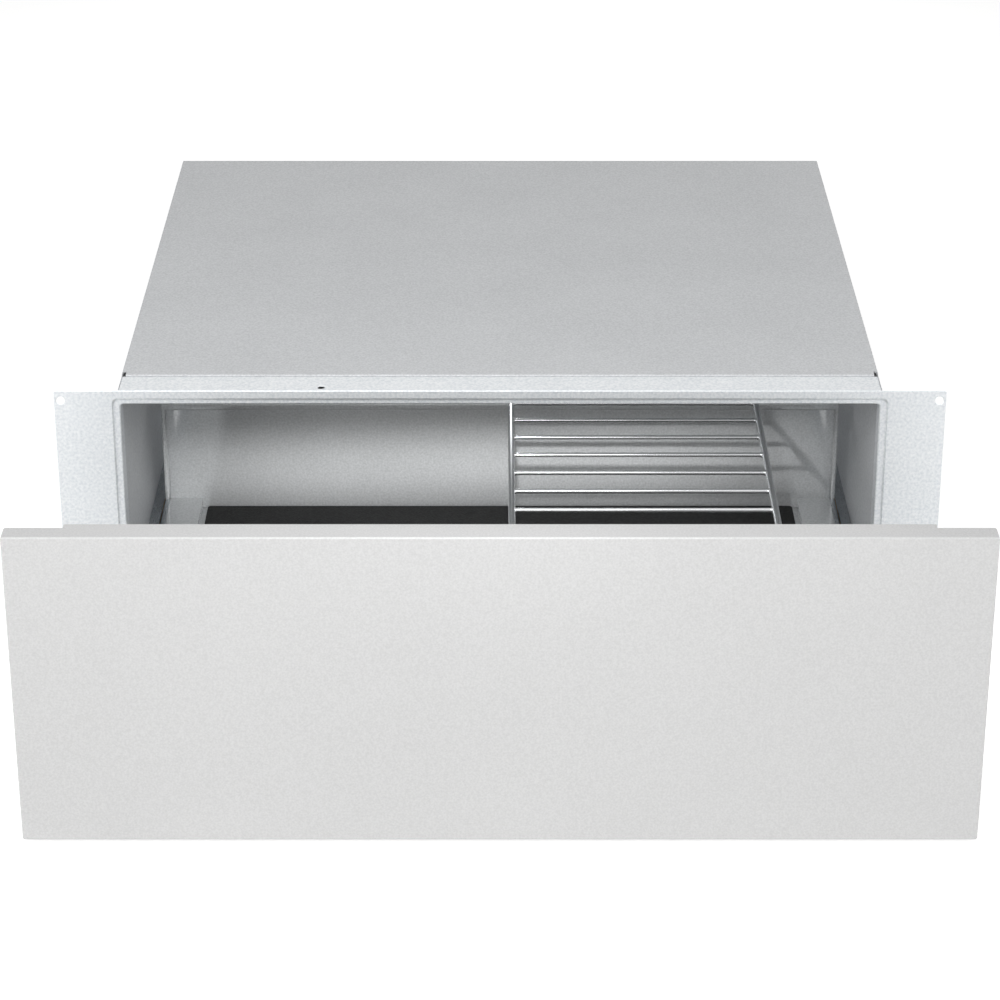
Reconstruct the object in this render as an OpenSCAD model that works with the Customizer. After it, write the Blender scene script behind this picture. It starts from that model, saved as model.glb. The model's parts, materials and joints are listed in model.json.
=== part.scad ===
// Built-in warming drawer without a handle, stored with its drawer part of the way out.
// X runs to the right, Y to the back and Z up. The origin is at the middle of the base,
// in the plane of the front frame. All sizes are in millimetres.

/* [Housing] */
// Width across the two side walls
housing_w = 644; // [620:0.5:680]
// Height of the housing and of its front frame
housing_h = 267; // [255:0.5:300]
// Depth behind the front face of the frame
housing_d = 597; // [590:0.5:660]
// Thickness of the sheet steel
sheet_t = 0.8; // [0.6:0.05:1.2]
// Width of the folded edges
fold_w = 12; // [8:0.5:18]
// Number of air slots in each row of the rear panel
vent_count = 5; // [3:1:8]
// Length of one air slot
vent_len = 46; // [30:1:60]
// Height of one air slot
vent_h = 4; // [3:0.5:5]

/* [Front frame] */
// Width across both flanges
frame_w = 751.4; // [735:0.2:800]
// Thickness of the frame's sheet
frame_t = 1.2; // [0.8:0.1:1.6]
// Height of the frame above the mouth
mouth_top_margin = 12.9; // [10.5:0.1:16]
// Height of the frame below the mouth
mouth_bottom_margin = 16; // [13:0.1:18]
// Corner radius of the mouth
mouth_r = 3.5; // [2:0.5:6]
// Width of the pressed lip round the mouth
lip_w = 5.5; // [5:0.1:8]
// How far the lip steps back from the flange
lip_step = 1.5; // [0.8:0.1:2]
// Depth of the throat behind the lip
throat_d = 18; // [10:0.5:19]
// Depth of the strip along the top
strip_d = 35; // [25:0.5:60]
// How far the strip lies below the top of the frame
strip_drop = 1.3; // [1:0.1:2.5]
// Diameter of the four corner screw holes
corner_hole_d = 7; // [4:0.5:8]
// Distance of the corner holes from the frame's side
corner_hole_x = 5.8; // [5:0.1:12]
// Distance of the corner holes from the frame's top and bottom
corner_hole_z = 8.9; // [6:0.1:14]
// Diameter of the fixing hole in the top strip
strip_hole_d = 6; // [4:0.5:8]
// Distance of that hole from the middle of the frame
strip_hole_x = 150.8; // [60:0.1:250]
// Distance of that hole behind the frame's front face
strip_hole_y = 10.9; // [7:0.1:20]

/* [Runners] */
// Width of a telescopic runner
slide_w = 12.7; // [12.5:0.1:13.5]
// Height of a runner
slide_h = 45; // [42:0.5:46]
// Length of each of its three members
slide_len = 440; // [425:1:446]
// Distance of the runner behind the frame's front face
slide_front = 22; // [22:0.5:26]
// Height of the runner's middle line above the base
slide_z = 45; // [42:0.5:46]
// Thickness of the runner's steel
rail_t = 1.2; // [1:0.05:1.3]
// Diameter of the bearing balls
ball_d = 3; // [2.6:0.1:3.2]
// Number of balls in one row of a cage
ball_count = 9; // [5:1:12]
// Thickness of the ball cages
cage_t = 0.6; // [0.5:0.05:0.7]
// Length of the ball cages
cage_len = 200; // [150:1:210]
// Distance of the closed cages behind the runner's front end
cage_front = 110; // [105:1:118]

/* [Drawer] */
// How far the drawer stands open in the stored pose
drawer_open = 260.5; // [60:0.5:400]
// Depth of the drawer from its inner front to its back wall
drawer_d = 458.5; // [430:0.5:460]
// Height of the tray's floor above the base
tray_z = 66; // [64:0.5:72]
// Thickness of the drawer's sheet steel
tray_t = 1; // [0.8:0.05:1.2]
// Height of the side ledges above the floor
ledge_h = 10; // [8:0.5:14]
// Distance of a ledge's inner edge from the drawer's middle line
ledge_in = 274.5; // [260:0.5:285]
// Distance of a ledge's outer edge from the drawer's middle line
ledge_out = 304.5; // [296:0.5:306]
// Height of the back wall above the floor
wall_h = 105; // [80:0.5:120]
// Space between the back wall and the housing's side walls
wall_side_gap = 11.9; // [10:0.1:14]
// Width of the upright hem at each end of the back wall
hem_w = 3.9; // [3:0.1:5]
// Width of the seam beside that hem
seam_w = 1.2; // [0.8:0.1:2]
// Height of the hem along the back wall's top
top_hem_h = 6.5; // [3:0.5:9]
// Depth of the rim folded back from the wall's top
rim_d = 8; // [6:0.5:9]
// Height of the drawer's side beams
beam_h = 55; // [53:0.5:55]
// Thickness of the anti-slip mat
mat_t = 3; // [2:0.5:5]
// Gap between the mat and the ledges
mat_side_gap = 4.5; // [1:0.5:10]
// Gap between the mat and the walls at its front and back
mat_end_gap = 2; // [1:0.5:10]

/* [Drawer front] */
// Width of the outer panel
panel_w = 756; // [740:0.5:800]
// How far the outer panel rises above the housing
panel_rise = 2; // [1:0.5:8]
// Thickness of the outer panel
panel_t = 18; // [14:0.5:24]
// Height of the outer panel above the base
panel_z = 3; // [1:0.5:4]
// Thickness of the outer panel's steel skin
skin_t = 1; // [0.8:0.1:1.5]
// Edge radius of the outer panel
panel_r = 1.5; // [0.8:0.1:2]
// Thickness of the inner front
plate_t = 7.5; // [7:0.5:12]
// How far the inner front's top lies below the outer panel's top
plate_drop = 0.5; // [0.3:0.1:2]
// How far the inner front overlaps the mouth
plate_overlap = 13; // [12:0.1:13.5]
// Radius of the inner front's upright edges
plate_r = 4.5; // [2:0.5:6]
// Thickness of the front seal
seal_t = 1.2; // [0.8:0.1:3]
// Width of the front seal
seal_w = 4.5; // [3:0.5:4.5]
// Gap left between the seal and the frame when closed
seal_gap = 0.3; // [0.3:0.05:1]

/* [Rack] */
// Distance of the rack's left wire from the drawer's middle line
rack_x = 10; // [0:0.5:40]
// Width of the rack between the middles of its side wires
rack_w = 222; // [150:1:230]
// Diameter of the side wires and legs
side_wire_d = 6; // [5:0.5:6]
// Diameter of the cross wires
cross_wire_d = 4; // [3:0.5:5]
// Distance from one cross wire to the next
cross_pitch = 37.8; // [20:0.1:38]
// Number of cross wires
cross_count = 10; // [4:1:10]
// Bend radius of the side wires
wire_bend_r = 6; // [5:0.5:7]
// Length of the hook that hangs down behind the back wall
hook_len = 16; // [12:0.5:30]
// Height of the foot caps
foot_h = 14; // [8:0.5:20]
// Diameter of the foot caps
foot_d = 10; // [9:0.5:14]

/* [Air heater] */
// Depth of the heater space between the baffle and the rear panel
heater_d = 120; // [117:0.5:121]
// Width of the fan box
fan_box_w = 420; // [300:1:500]
// Height of the fan box
fan_box_h = 206; // [200:1:225]
// Depth of the fan box
fan_box_d = 50; // [48:0.5:52]
// Height of the fan's axis above the base
fan_z = 132; // [125:0.5:136]
// Diameter of the fan wheel
wheel_d = 150; // [110:1:160]
// Width of the fan wheel
wheel_w = 28; // [20:0.5:30]
// Number of blades on the fan wheel
blade_count = 16; // [8:1:24]
// Radius of the ring of the heating element
element_r = 90; // [86:0.5:94]
// Diameter of the heating element's tube
element_d = 6.5; // [6:0.1:8]
// Diameter of the fan's shaft
shaft_d = 6; // [5:0.5:8]
// Size of the motor's square iron core
core_w = 62; // [50:1:70]
// Thickness of the motor's iron core
core_t = 18; // [14:0.5:22]
// Diameter of the motor's rotor
rotor_d = 26; // [20:0.5:30]
// Diameter of the cooling impeller behind the motor
impeller_d = 64; // [40:1:76]

/* [Push latch] */
// Length of the latch body
latch_len = 72; // [60:1:80]
// Width of the latch body
latch_w = 30; // [20:1:40]
// Height of the latch body
latch_h = 46; // [44:0.5:50]
// Height of the plunger's axis above the base
plunger_z = 34; // [28:0.5:36]
// Diameter of the plunger
plunger_d = 10; // [8:0.5:12]
// How far the plunger gives way when the closed front is pressed
plunger_travel = 5; // [3:0.5:8]
// Space between the latch and the notch that the drawer's back has for it
latch_gap = 6; // [4:0.5:12]

/* [Hidden] */

$fn = 48;
// Overcut that lets a hole run clear past both faces
eps = 0.5;
// Running gap between a piece and what it rests on or turns in
seat_gap = 0.3;
shaft_gap = 0.05;
screw_gap = 0.1;
ball_gap = 0.3;

// Half widths, measured from the middle plane
half_w = housing_w / 2;
wall_in = half_w - sheet_t;
mouth_hw = wall_in - frame_t;
drawer_side = wall_in - slide_w;
wall_hw = wall_in - wall_side_gap;
liner_hw = wall_hw - hem_w - seam_w;

// Heights
panel_h = housing_h + panel_rise - panel_z;
mouth_z0 = mouth_bottom_margin;
mouth_z1 = housing_h - mouth_top_margin;
strip_top = housing_h - strip_drop;
shelf_z = housing_h - sheet_t;
beam_z1 = tray_z + ledge_h - tray_t;
beam_z0 = beam_z1 - beam_h;
tray_under = tray_z - tray_t;
wall_top = tray_z + wall_h;
mat_top = tray_z + mat_t;

// Depths with the drawer closed
plate_back = -(seal_gap + seal_t);
plate_front = plate_back - plate_t;
panel_front = plate_front - panel_t;
wall_front = plate_back + drawer_d;
baffle_y = housing_d - heater_d;
rear_in = housing_d - 2 * sheet_t;

// Relief notches at the front corners of the cover
cover_notch_d = 7.5;
cover_notch_w = 2.8;
cover_lip_h = 5;

// Screw heads and shanks
head_d = 8;
head_h = 2;
shank_d = 4;
washer_gap = 3;

// ---- helpers ----

module slab(lo, hi)
{
    translate(lo)
        cube(hi - lo);
}

module both_sides()
{
    children();
    mirror([1, 0, 0])
        children();
}

// A flat outline drawn in X and Z, made solid from y0 to y1
module upright(y0, y1)
{
    translate([0, y1, 0])
        rotate([90, 0, 0])
            linear_extrude(y1 - y0)
                children();
}

// A rod along Y from y0 to y1
module rod_y(d, x, z, y0, y1)
{
    translate([x, y1, z])
        rotate([90, 0, 0])
            cylinder(d = d, h = y1 - y0);
}

module rod_x(d, y, z, x0, x1)
{
    translate([x0, y, z])
        rotate([0, 90, 0])
            cylinder(d = d, h = x1 - x0);
}

module rod_z(d, x, y, z0, z1)
{
    translate([x, y, z0])
        cylinder(d = d, h = z1 - z0);
}

// Rectangle with round corners from (x0, z0) to (x1, z1)
module round_rect(x0, x1, z0, z1, r)
{
    translate([x0 + r, z0])
        square([x1 - x0 - 2 * r, z1 - z0]);
    translate([x0, z0 + r])
        square([x1 - x0, z1 - z0 - 2 * r]);
    for (x = [x0 + r, x1 - r])
        for (z = [z0 + r, z1 - r])
            translate([x, z])
                circle(r);
}

// Moves a drawer piece from its closed place to its stored place
module opened(share = 1)
{
    translate([0, -drawer_open * share, 0])
        children();
}

// A pan-head screw along X, with its head outside the side wall
module side_screw(y, z, length)
{
    rod_x(head_d, y, z, half_w, half_w + head_h);
    rod_x(shank_d, y, z, half_w - length, half_w);
}

// ---- housing ----

runner_screw_y = [for (share = [0.1, 0.5, 0.9]) slide_front + slide_len * share];
frame_screw_z = [for (share = [0.4, 0.6, 0.8]) housing_h * share];
frame_screw_y = lip_step + throat_d - 7;
rear_screw_x = [for (share = [-0.92, -0.3, 0.3, 0.92]) wall_in * share];
rear_screw_top_z = housing_h - fold_w / 2;
rear_screw_side_z = housing_h * 0.4;
flange_screw_x = wall_in - fold_w / 2 - sheet_t;
gland_x = -240;
gland_z = 48;
gland_d = 20;

module side_screw_holes(play)
{
    for (y = runner_screw_y)
        rod_x(shank_d + 2 * play, y, slide_z, wall_in - slide_w, half_w + eps);
    for (z = frame_screw_z)
        rod_x(shank_d + 2 * play, frame_screw_y, z, mouth_hw - eps, half_w + eps);
}

module rear_screw_holes(play)
{
    for (x = rear_screw_x)
        rod_y(shank_d + 2 * play, x, rear_screw_top_z, rear_in - fold_w, housing_d + eps);
    both_sides()
        rod_y(shank_d + 2 * play, flange_screw_x, rear_screw_side_z, rear_in - fold_w,
            housing_d + eps);
}

shell_back = housing_d - sheet_t;
shell_front = lip_step + frame_t;
shelf_front = strip_d + cover_notch_d;

module housing_shell()
{
    color("lightsteelblue")
        difference() {
            union() {
                slab([-half_w, frame_t, 0], [half_w, shell_back, sheet_t]);
                both_sides() {
                    slab([wall_in, shell_front, 0], [half_w, shelf_front, strip_top]);
                    slab([wall_in, shelf_front, 0], [half_w, shell_back, shelf_z]);
                    slab([half_w - fold_w, shelf_front, shelf_z - sheet_t],
                        [half_w, rear_in, shelf_z]);
                    slab([wall_in - fold_w, rear_in - sheet_t, 2 * sheet_t],
                        [wall_in, rear_in, shelf_z - sheet_t]);
                }
            }
            both_sides()
                side_screw_holes(screw_gap);
            both_sides()
                rod_y(shank_d + 2 * screw_gap, flange_screw_x, rear_screw_side_z,
                    rear_in - fold_w, housing_d + eps);
        }
}

module top_cover()
{
    color("silver")
        difference() {
            union() {
                slab([-half_w, strip_d, shelf_z], [half_w, housing_d, housing_h]);
                slab([-wall_in, strip_d, housing_h - cover_lip_h],
                    [wall_in, strip_d + sheet_t, shelf_z]);
                slab([-wall_in, housing_d - sheet_t, housing_h - fold_w],
                    [wall_in, housing_d, shelf_z]);
            }
            both_sides()
                slab([wall_in - cover_notch_w, strip_d - eps, mouth_z1],
                    [wall_in, strip_d + cover_notch_d, housing_h + eps]);
            rear_screw_holes(screw_gap);
        }
}

liner_front = lip_step + throat_d;

module ceiling_liner()
{
    color("gainsboro")
        union() {
            slab([-wall_in, liner_front, mouth_z1], [wall_in, baffle_y, mouth_z1 + sheet_t]);
            both_sides()
                slab([wall_in - sheet_t, shelf_front, mouth_z1 + sheet_t],
                    [wall_in, baffle_y, shelf_z - sheet_t]);
        }
}

module rear_panel()
{
    vent_pitch = 2.5 * vent_h;
    vent_z = housing_h * 0.55;
    color("lightsteelblue")
        difference() {
            union() {
                slab([-wall_in, rear_in, sheet_t], [wall_in, rear_in + sheet_t, shelf_z]);
                slab([-wall_in, rear_in - fold_w, sheet_t],
                    [wall_in, rear_in, 2 * sheet_t]);
            }
            both_sides()
                for (column = [0:1])
                    for (row = [0:vent_count - 1])
                        slab([wall_in / 4 + column * 1.4 * vent_len, rear_in - eps,
                                vent_z + row * vent_pitch],
                            [wall_in / 4 + column * 1.4 * vent_len + vent_len,
                                housing_d + eps, vent_z + row * vent_pitch + vent_h]);
            rod_y(gland_d, gland_x, gland_z, rear_in - eps, housing_d + eps);
            rear_screw_holes(screw_gap);
        }
}

module front_frame()
{
    lip_hw = mouth_hw + lip_w;
    lip_z0 = mouth_z0 - lip_w;
    lip_z1 = mouth_z1 + lip_w;
    color("whitesmoke")
        difference() {
            union() {
                upright(0, frame_t)
                    difference() {
                        translate([-frame_w / 2, 0])
                            square([frame_w, housing_h]);
                        round_rect(-lip_hw, lip_hw, lip_z0, lip_z1, mouth_r + frame_t);
                    }
                upright(lip_step, lip_step + frame_t)
                    difference() {
                        translate([-lip_hw - frame_t, lip_z0 - frame_t])
                            square([2 * (lip_hw + frame_t), lip_z1 - lip_z0 + 2 * frame_t]);
                        round_rect(-mouth_hw, mouth_hw, mouth_z0, mouth_z1, mouth_r);
                    }
                upright(frame_t, lip_step)
                    difference() {
                        translate([-lip_hw - frame_t, lip_z0 - frame_t])
                            square([2 * (lip_hw + frame_t), lip_z1 - lip_z0 + 2 * frame_t]);
                        round_rect(-lip_hw, lip_hw, lip_z0, lip_z1, mouth_r + frame_t);
                    }
                upright(lip_step + frame_t, lip_step + throat_d)
                    difference() {
                        translate([-wall_in, mouth_z0 - frame_t])
                            square([2 * wall_in, mouth_z1 - mouth_z0 + 2 * frame_t]);
                        round_rect(-mouth_hw, mouth_hw, mouth_z0, mouth_z1, mouth_r);
                    }
                slab([-wall_in, frame_t, strip_top - frame_t],
                    [wall_in, strip_d - eps, strip_top]);
            }
            both_sides()
                for (z = [corner_hole_z, housing_h - corner_hole_z])
                    rod_y(corner_hole_d, frame_w / 2 - corner_hole_x, z, -eps, frame_t + eps);
            rod_z(strip_hole_d, -strip_hole_x, strip_hole_y, strip_top - frame_t - eps,
                strip_top + eps);
            both_sides()
                side_screw_holes(screw_gap);
        }
}

module runner_screws()
{
    color("dimgray")
        both_sides()
            for (y = runner_screw_y)
                side_screw(y, slide_z, sheet_t + rail_t);
}

module frame_screws()
{
    color("dimgray")
        both_sides()
            for (z = frame_screw_z)
                side_screw(frame_screw_y, z, sheet_t + frame_t);
}

module rear_screw(x, z, length)
{
    rod_y(head_d, x, z, housing_d, housing_d + head_h);
    rod_y(shank_d, x, z, housing_d - length, housing_d);
}

module rear_screws()
{
    color("dimgray")
        union() {
            for (x = rear_screw_x)
                rear_screw(x, rear_screw_top_z, 2 * sheet_t);
            both_sides()
                translate([0, -sheet_t, 0])
                    rear_screw(flange_screw_x, rear_screw_side_z, fold_w / 2);
        }
}

// ---- telescopic runners ----
// Each member is a channel. The middle one lies inside the outer one and the inner one
// inside that, with a row of balls between their lips at the top and at the bottom.

web_room = cage_t + 2 * 0.4;
outer_hh = slide_h / 2;
middle_hh = outer_hh - rail_t - ball_d - 2 * ball_gap;
inner_hh = middle_hh - rail_t - ball_d - 2 * ball_gap;
middle_web_x = wall_in - rail_t - web_room - rail_t;
ball_x = drawer_side + slide_w / 2;
outer_ball_z = middle_hh + ball_gap + ball_d / 2;
inner_ball_z = inner_hh + ball_gap + ball_d / 2;

// Channel with its web from web_x to web_x + rail_t and lips that end at lip_x
module channel(web_x, lip_x, half_h)
{
    left_x = min(web_x, lip_x);
    right_x = max(web_x + rail_t, lip_x);
    upright(slide_front, slide_front + slide_len)
        union() {
            translate([web_x, slide_z - half_h])
                square([rail_t, 2 * half_h]);
            for (z = [slide_z - half_h, slide_z + half_h - rail_t])
                translate([left_x, z])
                    square([right_x - left_x, rail_t]);
        }
}

module outer_rail()
{
    color("lightgray")
        difference() {
            channel(wall_in - rail_t, ball_x - ball_d, outer_hh);
            side_screw_holes(screw_gap);
        }
}

module middle_rail()
{
    color("gray")
        opened(0.5)
            channel(middle_web_x, ball_x - ball_d, middle_hh);
}

module inner_rail()
{
    color("lightgray")
        opened()
            channel(drawer_side, middle_web_x - web_room, inner_hh);
}

// Strip with two legs that hold a row of balls each
module ball_cage(web_x, ball_z)
{
    ball_pitch = cage_len / ball_count;
    y0 = slide_front + cage_front;
    color("goldenrod")
        union() {
            slab([web_x, y0, slide_z - ball_z - cage_t / 2],
                [web_x + cage_t, y0 + cage_len, slide_z + ball_z + cage_t / 2]);
            for (side = [-1, 1]) {
                slab([ball_x - ball_d, y0, slide_z + side * ball_z - cage_t / 2],
                    [web_x + cage_t, y0 + cage_len, slide_z + side * ball_z + cage_t / 2]);
                for (i = [0:ball_count - 1])
                    translate([ball_x, y0 + (i + 0.5) * ball_pitch, slide_z + side * ball_z])
                        sphere(d = ball_d, $fn = 24);
            }
        }
}

module outer_ball_cage()
{
    opened(0.25)
        ball_cage(wall_in - rail_t - (web_room + cage_t) / 2, outer_ball_z);
}

module inner_ball_cage()
{
    opened(0.75)
        ball_cage(middle_web_x - (web_room + cage_t) / 2, inner_ball_z);
}

// ---- air heater behind the drawer ----

fan_box_y1 = baffle_y + sheet_t + fan_box_d;
wheel_y0 = baffle_y + sheet_t + 8;
wheel_y1 = wheel_y0 + wheel_w;
element_y = (wheel_y0 + wheel_y1) / 2;
core_y0 = fan_box_y1 + 14;
core_y1 = core_y0 + core_t;
bridge_t = 2;
bridge_out = 7;
motor_back = core_y1 + bridge_out;
impeller_y0 = motor_back + 2;
impeller_w = 8;
hub_d = 3 * shaft_d;
lead_x = 24;
lead_gap_angle = 2 * asin(lead_x / 2 / element_r);
lead_z = fan_z - element_r * cos(lead_gap_angle / 2);

module air_baffle()
{
    slot_w = 5;
    slot_pitch = 11;
    intake_slots = 9;
    outlet_slots = 7;
    outlet_z0 = housing_h * 0.52;
    outlet_z1 = housing_h * 0.84;
    outlet_in = 20;
    outlet_x = fan_box_w / 2 - outlet_in;
    color("gainsboro")
        difference() {
            union() {
                slab([-wall_in, baffle_y, sheet_t],
                    [wall_in, baffle_y + sheet_t, shelf_z - sheet_t]);
                slab([-wall_in, baffle_y + sheet_t, sheet_t],
                    [wall_in, baffle_y + fold_w, 2 * sheet_t]);
            }
            for (i = [0:intake_slots - 1]) {
                offset_x = (i - (intake_slots - 1) / 2) * slot_pitch;
                half_len = sqrt(pow(wheel_d / 2.4, 2) - pow(offset_x, 2));
                slab([offset_x - slot_w / 2, baffle_y - eps, fan_z - half_len],
                    [offset_x + slot_w / 2, baffle_y + sheet_t + eps, fan_z + half_len]);
            }
            both_sides()
                for (i = [0:outlet_slots - 1])
                    slab([outlet_x - i * slot_pitch - slot_w, baffle_y - eps, outlet_z0],
                        [outlet_x - i * slot_pitch, baffle_y + sheet_t + eps, outlet_z1]);
            rod_y(probe_d + 2 * screw_gap, probe_x, probe_z, baffle_y - eps,
                baffle_y + sheet_t + eps);
        }
}

module fan_box()
{
    z0 = fan_z - fan_box_h / 2;
    z1 = fan_z + fan_box_h / 2;
    color("lightgray")
        difference() {
            slab([-fan_box_w / 2, baffle_y + sheet_t, z0], [fan_box_w / 2, fan_box_y1, z1]);
            slab([-fan_box_w / 2 + sheet_t, baffle_y, z0 + sheet_t],
                [fan_box_w / 2 - sheet_t, fan_box_y1 - sheet_t, z1 - sheet_t]);
            rod_y(hub_d + 4, 0, fan_z, baffle_y, fan_box_y1 + eps);
            for (x = [-lead_x / 2, lead_x / 2])
                rod_y(element_d + 2 * screw_gap, x, lead_z, baffle_y, fan_box_y1 + eps);
        }
}

module fan_wheel()
{
    plate = 1;
    ring_in = wheel_d * 0.39;
    blade_in = wheel_d * 0.31;
    color("silver")
        difference() {
            union() {
                rod_y(wheel_d, 0, fan_z, wheel_y1 - plate, wheel_y1);
                rod_y(hub_d, 0, fan_z, wheel_y1 - wheel_w / 2, wheel_y1 + plate);
                difference() {
                    rod_y(wheel_d, 0, fan_z, wheel_y0, wheel_y0 + plate);
                    rod_y(2 * ring_in, 0, fan_z, wheel_y0 - eps, wheel_y0 + plate + eps);
                }
                for (i = [0:blade_count - 1])
                    translate([0, 0, fan_z])
                        rotate([0, i * 360 / blade_count, 0])
                            slab([blade_in, wheel_y0, -plate / 2],
                                [wheel_d / 2 - plate, wheel_y1, plate / 2]);
            }
            rod_y(shaft_d, 0, fan_z, wheel_y0 - eps, wheel_y1 + 2 * plate);
        }
}

module rotor_shaft()
{
    color("slategray")
        union() {
            rod_y(shaft_d, 0, fan_z, wheel_y1 - wheel_w / 2, impeller_y0 + impeller_w);
            rod_y(rotor_d, 0, fan_z, core_y0, core_y1);
        }
}

module cooling_impeller()
{
    vane_count = 7;
    vane_t = 1.2;
    color("ivory")
        difference() {
            union() {
                rod_y(hub_d, 0, fan_z, impeller_y0, impeller_y0 + impeller_w);
                rod_y(impeller_d, 0, fan_z, impeller_y0, impeller_y0 + vane_t);
                for (i = [0:vane_count - 1])
                    translate([0, 0, fan_z])
                        rotate([0, i * 360 / vane_count, 0])
                            slab([shaft_d, impeller_y0, -vane_t / 2],
                                [impeller_d / 2, impeller_y0 + impeller_w, vane_t / 2]);
            }
            rod_y(shaft_d, 0, fan_z, impeller_y0 - eps, impeller_y0 + impeller_w + eps);
        }
}

// Iron core with a bearing bridge on each side and four posts to the fan box
module motor_stator()
{
    post_d = 6;
    post_at = core_w / 2 - post_d;
    bridge_w = 14;
    rotor_gap = 0.4;
    color("darkslategray")
        difference() {
            union() {
                slab([-core_w / 2, core_y0, fan_z - core_w / 2],
                    [core_w / 2, core_y1, fan_z + core_w / 2]);
                for (x = [-post_at, post_at])
                    for (z = [-post_at, post_at])
                        rod_y(post_d, x, fan_z + z, fan_box_y1, core_y0);
                for (y = [core_y0 - bridge_out, core_y1 + bridge_out - bridge_t])
                    slab([-rotor_d / 2 - bridge_t, y, fan_z - bridge_w / 2],
                        [rotor_d / 2 + bridge_t, y + bridge_t, fan_z + bridge_w / 2]);
                for (y = [core_y0 - bridge_out, core_y1])
                    for (x = [-rotor_d / 2 - 2 * bridge_t, rotor_d / 2 + bridge_t])
                        slab([x, y, fan_z - bridge_w / 2],
                            [x + bridge_t, y + bridge_out, fan_z + bridge_w / 2]);
            }
            rod_y(rotor_d + 2 * rotor_gap, 0, fan_z, core_y0 - eps, core_y1 + eps);
            rod_y(shaft_d + 2 * shaft_gap, 0, fan_z, fan_box_y1, motor_back + eps);
        }
}

module motor_coil()
{
    coil_w = core_w * 0.6;
    coil_h = 16;
    coil_out = 5;
    color("peru")
        slab([-coil_w / 2, core_y0 - coil_out, fan_z - core_w / 2 - coil_h],
            [coil_w / 2, core_y1 + coil_out, fan_z - core_w / 2]);
}

// Ring of sheathed tube round the fan wheel, with two leads out through the fan box
module heating_element()
{
    lead_out = 18;
    lead_end = fan_box_y1 + lead_out;
    bend_swell = 1.1;
    color("saddlebrown")
        union() {
            translate([0, element_y, fan_z])
                rotate([90, 0, 0])
                    rotate([0, 0, -90 + lead_gap_angle / 2])
                        rotate_extrude(angle = 360 - lead_gap_angle, $fn = 96)
                            translate([element_r, 0])
                                circle(d = element_d, $fn = 24);
            for (x = [-lead_x / 2, lead_x / 2]) {
                rod_y(element_d, x, lead_z, element_y, lead_end);
                translate([x, element_y, lead_z])
                    sphere(d = element_d * bend_swell, $fn = 24);
            }
        }
}

// Feet that hold the element's ring off the back of the fan box
module element_clips()
{
    clip_w = 8;
    clip_t = 1.5;
    color("silver")
        for (angle = [30, 90, 150])
            translate([0, 0, fan_z])
                rotate([0, -angle, 0])
                    difference() {
                        slab([element_r - clip_w, element_y - element_d, -clip_t],
                            [element_r + clip_w, fan_box_y1 - sheet_t, clip_t]);
                        translate([0, element_y, 0])
                            rotate([90, 0, 0])
                                rotate_extrude($fn = 96)
                                    translate([element_r, 0])
                                        circle(d = element_d + 2 * screw_gap, $fn = 24);
                    }
}

module overheat_cutout()
{
    cutout_d = 16;
    cutout_x = fan_box_w / 4;
    color("dimgray")
        union() {
            rod_y(cutout_d, cutout_x, fan_z, fan_box_y1, fan_box_y1 + cutout_d / 2);
            for (x = [-cutout_d / 4, cutout_d / 4])
                slab([cutout_x + x - 1.5, fan_box_y1 + cutout_d / 2, fan_z - 0.4],
                    [cutout_x + x + 1.5, fan_box_y1 + cutout_d, fan_z + 0.4]);
        }
}

probe_d = 5;
probe_side_gap = 24;
probe_x = fan_box_w / 2 + probe_side_gap;
probe_z = housing_h * 0.8;

module air_temperature_probe()
{
    probe_in = 1.5;
    probe_out = 34;
    collar_t = 3;
    color("silver")
        union() {
            rod_y(probe_d, probe_x, probe_z, baffle_y - probe_in, baffle_y + probe_out);
            rod_y(2 * probe_d, probe_x, probe_z, baffle_y + sheet_t,
                baffle_y + sheet_t + collar_t);
        }
}

// Plastic case on the rear panel that holds the control board
case_w = 92;
case_h = 102;
case_side_gap = 2;
case_x0 = fan_box_w / 2 + case_side_gap;
case_x1 = case_x0 + case_w;
case_z0 = 30;
case_z1 = case_z0 + case_h;
case_d = 36;
case_t = 2;
board_t = 1.6;
board_y = rear_in - case_d / 2;

module board_case()
{
    color("white")
        difference() {
            slab([case_x0, rear_in - case_d, case_z0], [case_x1, rear_in, case_z1]);
            slab([case_x0 + case_t, rear_in - case_d - eps, case_z0 + case_t],
                [case_x1 - case_t, rear_in - case_t, case_z1 - case_t]);
        }
}

module control_board()
{
    relay_w = 19;
    relay_h = 15;
    relay_pitch = 25;
    heat_sink_w = 64;
    heat_sink_h = 24;
    color("darkgreen")
        union() {
            slab([case_x0 + case_t, board_y, case_z0 + case_t],
                [case_x1 - case_t, board_y + board_t, case_z1 - case_t]);
            for (i = [0:2])
                translate([case_x0 + 2 * case_t + i * relay_pitch,
                        board_y - relay_h, case_z0 + 5 * case_t])
                    cube([relay_w, relay_h, relay_h]);
            slab([case_x0 + 4 * case_t, board_y - relay_h, case_z1 - 3 * case_t - heat_sink_h],
                [case_x0 + 4 * case_t + heat_sink_w, board_y, case_z1 - 3 * case_t]);
        }
}

module terminal_block()
{
    pole_w = 12;
    pole_gap = 1.5;
    block_d = 22;
    block_h = 20;
    x0 = gland_x + gland_d;
    y0 = rear_in - fold_w - block_d - washer_gap;
    color("ivory")
        difference() {
            slab([x0, y0, sheet_t], [x0 + 3 * pole_w + 4 * pole_gap, y0 + block_d, block_h]);
            for (i = [0:2])
                slab([x0 + pole_gap + i * (pole_w + pole_gap), y0 - eps, block_h / 2],
                    [x0 + (i + 1) * (pole_w + pole_gap), y0 + block_d * 0.6, block_h + eps]);
        }
}

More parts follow.
